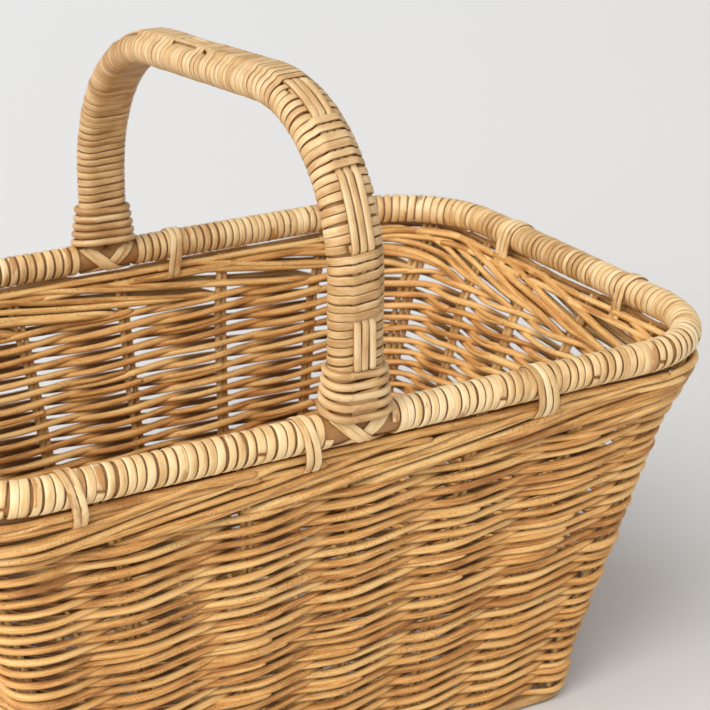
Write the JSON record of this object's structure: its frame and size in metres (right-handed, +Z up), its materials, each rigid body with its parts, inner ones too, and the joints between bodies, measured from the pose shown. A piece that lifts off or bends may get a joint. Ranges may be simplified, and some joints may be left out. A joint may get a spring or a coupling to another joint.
{
  "type": "sewing basket",
  "caption": "Open rattan sewing basket: flared rounded-rectangular twined walls, peel-wrapped rim and a fixed wrapped hoop handle across the middle.",
  "frame": {"origin": "middle of the footprint, on the table", "axes": "+X along the length of the basket, +Y across its width towards the back, +Z up"},
  "size_m": [0.4386, 0.2938, 0.3454],
  "materials": {
    "rattan_pole": "bare rattan pole, brownish, satin",
    "rattan_base": "natural rattan core, matt",
    "rattan_stake": "natural rattan core, satin",
    "rattan_weaver": "natural rattan core with darker blotches, satin",
    "rattan_peel": "pale rattan peel, semi-gloss",
    "nail_steel": "plain wire nail"
  },
  "bodies": {
    "root": {"base_frame": "rattan_pole", "base_sticks": "rattan_base", "base_weavers": "rattan_base", "side_stakes": "rattan_stake", "corner_stakes": "rattan_stake", "weave_course_01": "rattan_weaver", "weave_course_02": "rattan_weaver", "weave_course_03": "rattan_weaver", "weave_course_04": "rattan_weaver", "weave_course_05": "rattan_weaver", "weave_course_06": "rattan_weaver", "weave_course_07": "rattan_weaver", "weave_course_08": "rattan_weaver", "weave_course_09": "rattan_weaver", "weave_course_10": "rattan_weaver", "weave_course_11": "rattan_weaver", "weave_course_12": "rattan_weaver", "weave_course_13": "rattan_weaver", "weave_course_14": "rattan_weaver", "weave_course_15": "rattan_weaver", "weave_course_16": "rattan_weaver", "weave_course_17": "rattan_weaver", "weave_course_18": "rattan_weaver", "weave_course_19": "rattan_weaver", "weave_course_20": "rattan_weaver", "weave_course_21": "rattan_weaver", "weave_course_22": "rattan_weaver", "weave_course_23": "rattan_weaver", "weave_course_24": "rattan_weaver", "weave_course_25": "rattan_weaver", "border_rods_outer": "rattan_stake", "border_rods_inner": "rattan_stake", "rim_pole": "rattan_pole", "rim_wrap": "rattan_peel", "rim_lashings": "rattan_peel", "handle_pole_left": "rattan_pole", "handle_pole_right": "rattan_pole", "handle_nails": "nail_steel", "handle_wrap": "rattan_peel", "handle_strands": "rattan_peel", "handle_collar_front": "rattan_peel", "handle_collar_back": "rattan_peel", "cross_lashing_front": "rattan_peel", "cross_lashing_back": "rattan_peel"}
  },
  "joints": []
}
